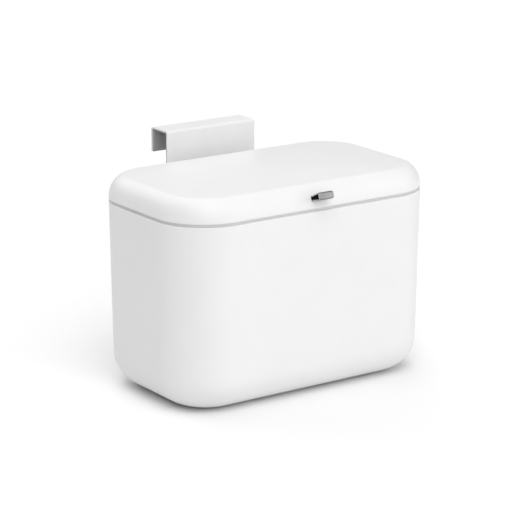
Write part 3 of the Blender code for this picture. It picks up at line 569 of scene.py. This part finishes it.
def cross_recess(axis, reach, half_width, depth, at_low):
    """A cross-head recess, cut into the low or high end of a screw."""
    def cutter(low, high):
        index = "XYZ".index(axis)
        across = [i for i in range(3) if i != index]
        arm = [(reach, -half_width), (reach, half_width), (half_width, half_width)]
        outline = []
        for _ in range(4):
            outline += arm
            arm = [(-v, u) for u, v in arm]
        span = (high[index] - depth, high[index] + depth)
        if at_low:
            span = (low[index] - depth, low[index] + depth)
        rings = []
        for along in span:
            ring = []
            for u, v in outline:
                point = (low + high) / 2
                point[index] = along
                point[across[0]] += u
                point[across[1]] += v
                ring.append(point)
            rings.append(ring)
        bm = bmesh.new()
        add_loft(bm, rings)
        return bm
    return cutter


def make_hinge_brackets():
    """A cast arm with a bored knuckle for the pin, on a flat foot that is screwed down."""
    front, back = MID_Y + 0.0525, MID_Y + 0.0570
    half_width = 0.0045
    foot_half_x = 0.0112
    foot_front, foot_back = MID_Y + 0.0516, MID_Y + 0.0568
    foot_height = 0.0018
    bore_radius = 0.0016
    bore_reach = 0.01
    for name in SIDE_NAMES:
        node = f"hinge_bracket_{name}"
        low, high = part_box(node)
        x = (low.x + high.x) / 2
        pivot = hinge_pivot(name)
        arm = [(front, low.z, 0), (back, low.z, 0), (back, 0.1606, 0.0016)]
        knuckle = arc((pivot.y, pivot.z), KNUCKLE_RADIUS, math.radians(-100), math.radians(110), 28)
        arm += [(y, z, 0) for y, z in knuckle]
        arm += [(MID_Y + 0.0560, 0.1646, 0.003), (front, 0.1622, 0.0015)]
        bm = bmesh.new()
        add_side_profile(bm, fillet(arm, closed=True), (x - half_width, x + half_width))
        bracket = new_object(f"{node}_look", bm)
        foot = bmesh.new()
        left, right = x - foot_half_x, x + foot_half_x
        outline = rounded_rect(left, right, foot_front, foot_back, 0.0020, 8, UNDIVIDED)
        add_prism(foot, outline, (low.z, low.z + foot_height))
        combine(bracket, foot, "UNION")
        bore = bmesh.new()
        profile = [(bore_radius, -bore_reach), (bore_radius, bore_reach)]
        add_turned(bore, profile, (x, pivot.y, pivot.z), "X")
        combine(bracket, bore, "DIFFERENCE")
        soften(bracket, 0.0003)
        dress(bracket, node, "hinge_zinc", ZINC)


def screw_profile(length, head_radius, head, shank, at_low):
    """A pan-head screw along its axis, its head at the low or the high end."""
    tip = 0.0006
    points = [(0.0004, 0, 0), (head_radius, 0.0001, head * 0.7), (head_radius, head, 0.0002)]
    points += [(shank, head, 0.0001), (shank, length - tip, 0.0002), (shank * 0.6, length, 0)]
    if at_low:
        return points
    return [(radius, length - along, bend) for radius, along, bend in points[::-1]]


def make_screws():
    """Four of each kind, whose sizes are its head's radius and height and its shank's radius."""
    kinds = (
        ("hinge_bracket_screw", "Z", 0.0023, 0.0013, 0.0013, False),
        ("mount_plate_screw", "Y", 0.0030, 0.0017, 0.0014, True),
        ("liner_screw", "Z", 0.0028, 0.0014, 0.0011, True),
    )
    cross_half = 0.00028
    for kind, axis, head_radius, head, shank, at_low in kinds:
        for number in range(1, 5):
            node = f"{kind}_{number}"
            low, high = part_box(node)
            length = (high - low)["XYZ".index(axis)]
            cut = cross_recess(axis, head_radius * 0.6, cross_half, head * 0.6, at_low)
            profile = screw_profile(length, head_radius, head, shank, at_low)
            make_turned(node, "screw_steel", STEEL, profile, axis, 32, cut)


def make_mount_plate():
    """A plate against the body's rear wall, leaning with it, its outer corners round."""
    low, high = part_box("hook_mount_plate")
    lean = 0.00065
    outline = fillet([
        (low.y, low.z, 0.0006), (high.y, low.z, 0.0014), (high.y, high.z, 0.0014),
        (low.y + lean, high.z, 0.0006)], closed=True)
    bm = bmesh.new()
    add_side_profile(bm, outline, (low.x, high.x))
    plate = new_object("hook_mount_plate_look", bm)
    soften(plate, 0.0012, segments=4, limit=60)
    dress(plate, "hook_mount_plate", "white_plastic", WHITE)


def make_stud(name):
    """A shoulder stud for the hook: a plain shank under a flat head with a cross recess."""
    node = f"hook_stud_{name}"
    low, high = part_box(node)
    length = high.y - low.y
    shank, head_radius, head = 0.0020, 0.0040, 0.0009
    profile = [(0.0014, 0, 0), (shank, 0.0004, 0.0002), (shank, length - head, 0.0002)]
    profile += [(head_radius, length - head, 0.0002), (head_radius, length, 0.0005), (0.0002, length, 0)]
    recess = cross_recess("Y", 0.0022, 0.0004, 0.0005, False)
    make_turned(node, "screw_steel", STEEL, profile, "Y", cut=recess)


def make_bumper(name):
    """A push-in bumper: a barb inside the wall, a neck through it and a dimpled buffer outside."""
    node = f"rear_bumper_{name}"
    low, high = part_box(node)
    length = high.y - low.y
    barb, barb_radius, neck = 0.0030, 0.0036, 0.0022
    flange = barb + BODY_WALL + 0.0006
    flange_radius = 0.0080
    dimple = length - 0.0012
    profile = [
        (0.0020, 0, 0), (barb_radius, 0.0026, 0.0006), (barb_radius, barb, 0.0002), (neck, barb, 0.0002),
        (neck, flange, 0.0002), (flange_radius, flange, 0.0005), (flange_radius, flange + 0.0014, 0.0006),
        (0.0066, length, 0.0009), (0.0030, length, 0.0003), (0.0026, dimple, 0.0003), (0.0002, dimple, 0)]
    make_turned(node, "dark_rubber", RUBBER, profile, "Y")


def make_hinge_pin(name):
    node = f"hinge_pin_{name}"
    low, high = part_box(node)
    length = high.x - low.x
    radius = 0.0015
    profile = [(0.0004, 0, 0), (radius, 0, 0.0004), (radius, length, 0.0004), (0.0004, length, 0)]
    make_turned(node, "screw_steel", STEEL, profile, "X")


def make_feet(name):
    """The two feet on one side: low discs with a slightly hollow underside."""
    radius, height = 0.0058, 0.0016
    for end in ("front", "back"):
        profile = [(0.0030, 0.0003, 0), (0.0034, 0, 0.0003), (radius, 0, 0.0004), (radius, height, 0.0002)]
        profile += [(0.0004, height, 0)]
        make_turned(f"foot_{end}_{name}", "dark_rubber", RUBBER, profile, "Z")


def make_round_parts():
    for name in SIDE_NAMES:
        make_stud(name)
        make_bumper(name)
        make_hinge_pin(name)
        make_feet(name)


# ---------------------------------------------------------------- lid side


def lid_skin(wall, steps, crown_steps):
    """Rings of one face of the lid, from its lower edge to the middle of its crown."""
    reach = LID_FILLET - wall
    rise = LID_SHOULDER_Z - LID_BOTTOM - wall
    crown = LID_TOP - LID_SHOULDER_Z
    rings = []
    for step in range(steps + 1):
        angle = math.pi / 2 * step / steps
        rings.append(lid_ring(wall + reach * (1 - math.cos(angle)), LID_BOTTOM + rise * math.sin(angle)))
    for step in range(1, crown_steps + 1):
        share = 1 - step / (crown_steps + 0.5)
        z = LID_SHOULDER_Z - wall + crown * (1 - share ** 2) ** CROWN_POWER
        rings.append(lid_ring(LID_FILLET, z, share))
    return rings


def tab_point(out, up):
    """A (y, z) point given along the pull tab's axis, out from the lid's face, and square to it."""
    sine, cosine = math.sin(TAB_TILT), math.cos(TAB_TILT)
    return (MID_Y + TAB_ROOT_Y - out * cosine + up * sine, TAB_ROOT_Z + out * sine + up * cosine)


def tab_slab(bm, half_x, out_range, up_range):
    """A block that lies along the pull tab's axis."""
    corners = [(out_range[0], up_range[0]), (out_range[1], up_range[0])]
    corners += [(out_range[1], up_range[1]), (out_range[0], up_range[1])]
    add_side_profile(bm, [tab_point(out, up) for out, up in corners], (-half_x, half_x))


def add_tab_slits(bm, out_range):
    """Two cutters, one for each leg of the pull tab."""
    for side in SIDES:
        edges = (side * (TAB_ROOT_HALF - TAB_SHEET - TAB_FIT), side * (TAB_ROOT_HALF + TAB_FIT))
        tab_slab(bm, TAB_HALF_WIDTH + TAB_FIT, out_range, edges)


def add_hinge_ears(bm):
    """Two ears around each hinge bracket, from the pin up into the lid's rear rounding."""
    for name in SIDE_NAMES:
        pivot = hinge_pivot(name)
        ear = arc((pivot.y, pivot.z), KNUCKLE_RADIUS, math.pi, 2 * math.pi, 24)
        ear += [(MID_Y + 0.0723, pivot.z + 0.0008), (MID_Y + 0.0702, 0.1704), (MID_Y + 0.0662, 0.1740)]
        ear += [(pivot.y - KNUCKLE_RADIUS, 0.1756)]
        for side in SIDES:
            add_side_profile(bm, ear, [pivot.x + side * offset for offset in EAR_SPAN])


def add_screw_bosses(bm):
    """The round bosses that the liner's screws bite into."""
    radius, top = 0.0035, 0.1760
    liner_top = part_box("lid_liner")[1].z
    for number in range(1, 5):
        low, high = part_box(f"liner_screw_{number}")
        x, y = (low.x + high.x) / 2, (low.y + high.y) / 2
        add_turned(bm, [(radius, liner_top + 0.0003), (radius, top)], (x, y, 0), "Z")


def make_lid():
    """The domed shell with a rounded lower edge, hinge ears, screw bosses and the pull tab's slot."""
    edge_high = LID_BOTTOM + 0.002
    edge = fillet([(LID_WALL, edge_high, 0), (LID_WALL, LID_BOTTOM, 0.0004), (0, LID_BOTTOM, 0.0005),
                   (0, edge_high, 0)])
    edge_rings = [lid_ring(inset, z) for inset, z in edge[1:-1]]
    above_edge = LID_BOTTOM + 0.0006
    outer = [ring for ring in lid_skin(0, 30, 18) if ring[0][2] > above_edge]
    inner = [ring for ring in lid_skin(LID_WALL, 14, 4) if ring[0][2] > above_edge]
    bm = bmesh.new()
    add_loft(bm, inner[::-1] + edge_rings + outer)
    lid = new_object("lid_shell_look", bm)
    additions = bmesh.new()
    add_hinge_ears(additions)
    add_screw_bosses(additions)
    combine(lid, additions, "UNION")
    slot = bmesh.new()
    slot_half = TAB_ROOT_HALF + TAB_FIT
    tab_slab(slot, TAB_HALF_WIDTH + TAB_FIT, (-TAB_TAIL, TAB_TAIL), (-slot_half, slot_half))
    combine(lid, slot, "DIFFERENCE")
    dress(lid, "lid_shell", "white_plastic", WHITE)


def front_part(ring, limit):
    """The part of a closed ring with y up to limit, ending on the cut."""
    outline = []
    for index, (x, y, _) in enumerate(ring):
        last_x, last_y, _ = ring[index - 1]
        if (y <= limit) != (last_y <= limit):
            share = (limit - last_y) / (y - last_y)
            outline.append((last_x + (x - last_x) * share, limit))
        if y <= limit:
            outline.append((x, y))
    return outline


def bayonet_hole(centre):
    """The liner's round opening for the filter, with a notch that lets each lug through."""
    notch_half = math.radians(8)
    hole = []
    for lug in range(LUG_COUNT):
        middle = lug * 2 * math.pi / LUG_COUNT + math.radians(30)
        hole += arc((centre.x, centre.y), NOTCH_RADIUS, middle - notch_half, middle + notch_half, 6)
        last = middle + 2 * math.pi / LUG_COUNT - notch_half
        hole += arc((centre.x, centre.y), HOLE_RADIUS, middle + notch_half, last, 40)
    return hole


def make_liner():
    """A flat panel inside the lid, cut away for the filter and around the pull tab's keeper."""
    low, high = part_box("lid_liner")
    cover_low, cover_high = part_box("filter_cover")
    bm = bmesh.new()
    add_prism(bm, front_part(lid_ring(0.0042, 0), high.y), (low.z, high.z))
    liner = new_object("lid_liner_look", bm)
    cuts = bmesh.new()
    cut_low, cut_high = low.z - 0.002, high.z + 0.002
    keeper_half_x, keeper_back = 0.0098, MID_Y - 0.0666
    add_prism(cuts, bayonet_hole((cover_low + cover_high) / 2), (cut_low, cut_high))
    add_box(cuts, (-keeper_half_x, low.y - 0.004, cut_low), (keeper_half_x, keeper_back, cut_high))
    combine(liner, cuts, "DIFFERENCE")
    soften(liner, 0.0004)
    dress(liner, "lid_liner", "grey_plastic", LIGHT)


def make_seal():
    """A soft ring with a rounded lip along its lower edge."""
    low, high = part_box("lid_seal")
    outer = WIDTH / 2 - high.x
    inner = outer + 0.0032
    lip_top = low.z + 0.0008
    section = fillet([
        (outer, high.z, 0.0003), (inner, high.z, 0.0003), (inner, lip_top, 0.0004),
        (inner - 0.0009, lip_top, 0.0003), (inner - 0.0012, low.z, 0.0004), (outer + 0.0006, low.z, 0.0004),
        (outer, low.z + 0.0010, 0.0004)], closed=True, steps=4)
    bm = bmesh.new()
    add_loft(bm, [opening_ring(inset, z) for inset, z in section], closed=True)
    seal = new_object("lid_seal_look", bm)
    dress(seal, "lid_seal", "seal_silicone", SEAL)


def finish_tab(tab):
    """Give the tab's faces their materials: brushed front, painted shade on folds and hollow, painted
    highlight on cut edges.
    """
    front, fold, hollow, cut_edge = range(4)
    axis_y, axis_z = -math.cos(TAB_TILT), math.sin(TAB_TILT)
    root_y, root_z = tab_point(0, 0)
    for face in tab.data.polygons:
        out = (face.center.y - root_y) * axis_y + (face.center.z - root_z) * axis_z
        up = (face.center.y - root_y) * axis_z - (face.center.z - root_z) * axis_y
        facing = face.normal.y * axis_y + face.normal.z * axis_z
        inside_root = TAB_ROOT_HALF - TAB_SHEET
        hollow_half = inside_root + (TAB_HALF_HEIGHT - TAB_ROOT_HALF) * max(out, 0) / TAB_REACH
        within = abs(up) < hollow_half + TAB_SHEET / 4 and out < TAB_REACH - TAB_SHEET * 0.9
        # Cut edges get the paler painted highlight, hollow faces near-black painted shade, the rest of the
        # folds darker painted shade.
        if abs(face.normal.x) > 0.8:
            face.material_index = cut_edge
        elif out > TAB_REACH - 0.0004 and facing > 0.9:
            face.material_index = front
        elif within:
            face.material_index = hollow
        else:
            face.material_index = fold


def make_pull_tab():
    """One folded strip: two legs that spread outwards from the lid and a face that joins them."""
    bend_centre = (TAB_REACH - TAB_BEND, TAB_HALF_HEIGHT - TAB_BEND)
    inner_root = TAB_ROOT_HALF - TAB_SHEET
    outer = [(-TAB_TAIL, TAB_ROOT_HALF), (0, TAB_ROOT_HALF)] + arc(bend_centre, TAB_BEND, math.pi / 2, 0, 12)
    inner = arc(bend_centre, TAB_BEND - TAB_SHEET, 0, math.pi / 2, 10)
    inner += [(0, inner_root), (-TAB_TAIL, inner_root)]
    outline = outer + [(out, -up) for out, up in outer[::-1]]
    outline += [(out, -up) for out, up in inner[::-1]] + inner
    bm = bmesh.new()
    add_side_profile(bm, [tab_point(out, up) for out, up in outline], (-TAB_HALF_WIDTH, TAB_HALF_WIDTH))
    tab = new_object("pull_tab_look", bm)
    envelope = bmesh.new()
    half_x, half_up = TAB_HALF_WIDTH, TAB_HALF_HEIGHT
    front = rounded_rect(-half_x, half_x, -half_up, half_up, TAB_CORNER, 10, UNDIVIDED)
    ends = (-TAB_TAIL - 0.002, TAB_REACH + 0.002)
    add_loft(envelope, [[(x, *tab_point(out, up)) for x, up in front] for out in ends])
    combine(tab, envelope, "INTERSECT")
    soften(tab, 0.00012)
    dress(tab, "pull_tab", "satin_steel", TAB_FACE, TAB_FOLD_PAINTED_SHADE, TAB_HOLLOW_PAINTED_SHADE, TAB_EDGE_PAINTED_HIGHLIGHT)
    finish_tab(tab)


def make_keeper():
    """The push-on plate behind the lid's wall that grips the pull tab's legs, in near-black painted shade."""
    half_x, half_up = 0.0088, 0.0042
    bm = bmesh.new()
    tab_slab(bm, half_x, (-0.0046, -0.0038), (-half_up, half_up))
    keeper = new_object("tab_keeper_look", bm)
    slits = bmesh.new()
    add_tab_slits(slits, (-0.006, -0.002))
    combine(keeper, slits, "DIFFERENCE")
    soften(keeper, 0.0001)
    # The steel keeper is painted near-black as painted shade, so the slot in front of it looks dark.
    dress(keeper, "tab_keeper", "satin_steel", TAB_HOLLOW_PAINTED_SHADE)


# ---------------------------------------------------------------- filter


def add_lugs(bm, centre, top):
    """The cover's bayonet lugs, on the outside of its collar."""
    span = math.radians(6)
    for lug in range(LUG_COUNT):
        middle = lug * 2 * math.pi / LUG_COUNT
        outline = arc(centre, 0.0402, middle - span, middle + span, 6)
        outline += arc(centre, 0.0369, middle + span, middle - span, 6)
        add_prism(bm, outline, (top - 0.0011, top - 0.0002))


def add_grip(bm, centre, bottom, low_z):
    """A straight finger grip across the cover, its lower edge rounded."""
    front, back = centre[1] - GRIP_HALF_Y, centre[1] + GRIP_HALF_Y
    grip = rounded_rect(-GRIP_HALF_X, GRIP_HALF_X, front, back, 0.0020, 10, UNDIVIDED)
    edge = fillet([(0, bottom + 0.0004, 0), (0, low_z, 0.0010), (0.002, low_z, 0)])
    rings = []
    for inset, z in edge[:-1]:
        share_x, share_y = 1 - inset / GRIP_HALF_X, 1 - inset / GRIP_HALF_Y
        rings.append([(x * share_x, centre[1] + (y - centre[1]) * share_y, z) for x, y in grip])
    add_loft(bm, rings)


def add_vents(bm, centre, z_range):
    """Cutters for eight long vents that end on a circle, four on each side of the grip."""
    half_width = 0.0013
    for row in range(1, 5):
        offset = 0.0035 + row * 0.0062
        length = math.sqrt(0.0330 ** 2 - offset ** 2)
        for side in SIDES:
            left, right = side * offset - half_width, side * offset + half_width
            slot = rounded_rect(left, right, centre[1] - length, centre[1] + length, 0.0012, 6, UNDIVIDED)
            add_prism(bm, slot, z_range)


def make_filter_cover():
    """A vented disc with a collar around the charcoal, bayonet lugs and a finger grip."""
    low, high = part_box("filter_cover")
    liner_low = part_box("lid_liner")[0].z
    centre = ((low.x + high.x) / 2, (low.y + high.y) / 2, 0)
    top = liner_low - 0.0003
    bottom = top - COVER_SHEET
    collar_out, collar_in = 0.0376, 0.0362
    profile = fillet([
        (0.0010, bottom, 0), (COVER_RADIUS, bottom, 0.0008), (COVER_RADIUS, top, 0.0004),
        (collar_out, top, 0.0003), (collar_out, high.z, 0.0004), (collar_in, high.z, 0.0004),
        (collar_in, top, 0.0003), (0.0010, top, 0)], steps=4)
    bm = bmesh.new()
    add_turned(bm, profile, centre, "Z", 96)
    cover = new_object("filter_cover_look", bm)
    additions = bmesh.new()
    add_lugs(additions, centre, high.z)
    add_grip(additions, centre, bottom, low.z)
    combine(cover, additions, "UNION")
    vents = bmesh.new()
    add_vents(vents, centre, (bottom - 0.001, top + 0.001))
    combine(cover, vents, "DIFFERENCE")
    dress(cover, "filter_cover", "grey_plastic", LIGHT)


def make_charcoal_filter():
    low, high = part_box("charcoal_filter")
    height = high.z - low.z
    radius, edge = 0.0356, 0.0012
    profile = [(0.0010, 0, 0), (radius, 0, edge), (radius, height, edge), (0.0010, height, 0)]
    make_turned("charcoal_filter", "charcoal_felt", FELT, profile, "Z", 96)


# ---------------------------------------------------------------- hook


def hook_section(low, high, lift):
    """The folded sheet from the side, as (y, z) points, its two lower ends raised by lift."""
    sheet, bend = 0.0012, 0.0020
    back_bottom = 0.1767
    bend_z = high.z - bend
    front_centre = (low.y + bend, bend_z)
    back_centre = (high.y - bend, bend_z)
    outline = [(low.y, low.z + lift)]
    outline += arc(front_centre, bend, math.pi, math.pi / 2, 12)
    outline += arc(back_centre, bend, math.pi / 2, 0, 12)
    outline += [(high.y, back_bottom + lift), (high.y - sheet, back_bottom + lift)]
    outline += arc(back_centre, bend - sheet, 0, math.pi / 2, 12)
    outline += arc(front_centre, bend - sheet, math.pi / 2, math.pi, 12)
    outline += [(low.y + sheet, low.z + lift)]
    return outline


def add_keyholes(bm, front):
    """Cutters for the keyhole slots: narrow around each stud at rest, and above that as wide as its head."""
    slot, big, rise = 0.0023, 0.0044, 0.0110
    join = math.asin(slot / big)
    for name in SIDE_NAMES:
        low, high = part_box(f"hook_stud_{name}")
        x, z = (low.x + high.x) / 2, (low.z + high.z) / 2
        keyhole = arc((x, z), slot, math.pi, 2 * math.pi, 16)
        keyhole += arc((x, z + rise), big, join - math.pi / 2, 1.5 * math.pi - join, 36)
        add_loft(bm, [[(px, y, pz) for px, pz in keyhole] for y in (front - 0.003, front + 0.004)])


def make_hook():
    """The folded sheet that hangs over the door, the ends of its legs with rounded corners."""
    low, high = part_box("hook_bracket")
    corner = 0.0015
    corners = [(corner * rise, corner * pull) for rise, pull in quarter_round(10)]
    stations = [(low.x + inset, lift) for inset, lift in corners]
    stations += [(high.x - inset, lift) for inset, lift in corners[::-1]]
    bm = bmesh.new()
    add_loft(bm, [[(x, y, z) for y, z in hook_section(low, high, lift)] for x, lift in stations])
    hook = new_object("hook_bracket_look", bm)
    cuts = bmesh.new()
    add_keyholes(cuts, low.y)
    combine(hook, cuts, "DIFFERENCE")
    soften(hook, 0.0003, segments=3)
    dress(hook, "hook_bracket", "coated_steel", COATED)


def make_pads():
    for name in ("front", "top", "back"):
        node = f"hook_pad_{name}"
        low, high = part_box(node)
        bm = bmesh.new()
        add_box(bm, low, high)
        pad = new_object(f"{node}_look", bm)
        soften(pad, 0.00025, segments=3)
        dress(pad, node, "pad_foam", FOAM)


# ---------------------------------------------------------------- stage


def direction(azimuth, elevation):
    """Towards a light or eye: azimuth in degrees from the front, positive to the right."""
    turn, rise = math.radians(azimuth), math.radians(elevation)
    return Vector((math.sin(turn) * math.cos(rise), -math.cos(turn) * math.cos(rise), math.sin(rise)))


def make_stage():
    """A wide pale floor under broad soft banks of light, as in a product studio."""
    bm = bmesh.new()
    bmesh.ops.create_grid(bm, x_segments=1, y_segments=1, size=9.0)
    floor = new_object("floor", bm)
    nodes = Nodes("pale_floor")
    nodes.tint(nodes.noise(scale=3, detail=2), grey(0.900), grey(0.912))
    nodes.shader.inputs["Roughness"].default_value = 0.9
    nodes.shader.inputs["Specular IOR Level"].default_value = 0.1
    floor.data.materials.append(nodes.material)

    world = bpy.data.worlds.new("studio")
    world.use_nodes = True
    surround = world.node_tree.nodes["Background"]
    surround.inputs["Color"].default_value = (1, 1, 1, 1)
    surround.inputs["Strength"].default_value = 0.06
    bpy.context.scene.world = world

    banks = (
        ("back_bank", 180, 50, 70, 0.48),
        ("front_left_bank", -20, 40, 60, 0.45),
        ("high_left_bank", -45, 70, 50, 0.31),
        ("low_right_bank", 50, 12, 40, 0.27),
        ("right_bank", 60, 60, 60, 0.10),
    )
    for name, azimuth, elevation, spread, share in banks:
        sun = bpy.data.lights.new(name, "SUN")
        sun.energy = share * math.pi
        sun.angle = math.radians(spread)
        lamp = bpy.data.objects.new(name, sun)
        lamp.rotation_mode = "QUATERNION"
        lamp.rotation_quaternion = direction(azimuth, elevation).to_track_quat("Z", "Y")
        bpy.context.scene.collection.objects.link(lamp)


def make_camera():
    """A long lens from the front left and a little above."""
    target = Vector((-0.0050, MID_Y, FOOT_PROUD + 0.0979))
    distance = 1.9418
    back = direction(azimuth=-34.85, elevation=15.51)
    lens = bpy.data.cameras.new("camera")
    lens.lens = 162.3
    lens.sensor_width = 36.0
    lens.clip_start = 0.05
    camera = bpy.data.objects.new("camera", lens)
    camera.location = target + back * distance
    camera.rotation_mode = "QUATERNION"
    camera.rotation_quaternion = (-back).to_track_quat("-Z", "Y")
    bpy.context.scene.collection.objects.link(camera)
    bpy.context.scene.camera = camera
    bpy.context.scene.view_settings.view_transform = "Standard"


make_body()
make_collar()
make_bucket()
make_hinge_brackets()
make_screws()
make_mount_plate()
make_round_parts()
make_lid()
make_liner()
make_seal()
make_pull_tab()
make_keeper()
make_filter_cover()
make_charcoal_filter()
make_hook()
make_pads()
make_stage()
make_camera()
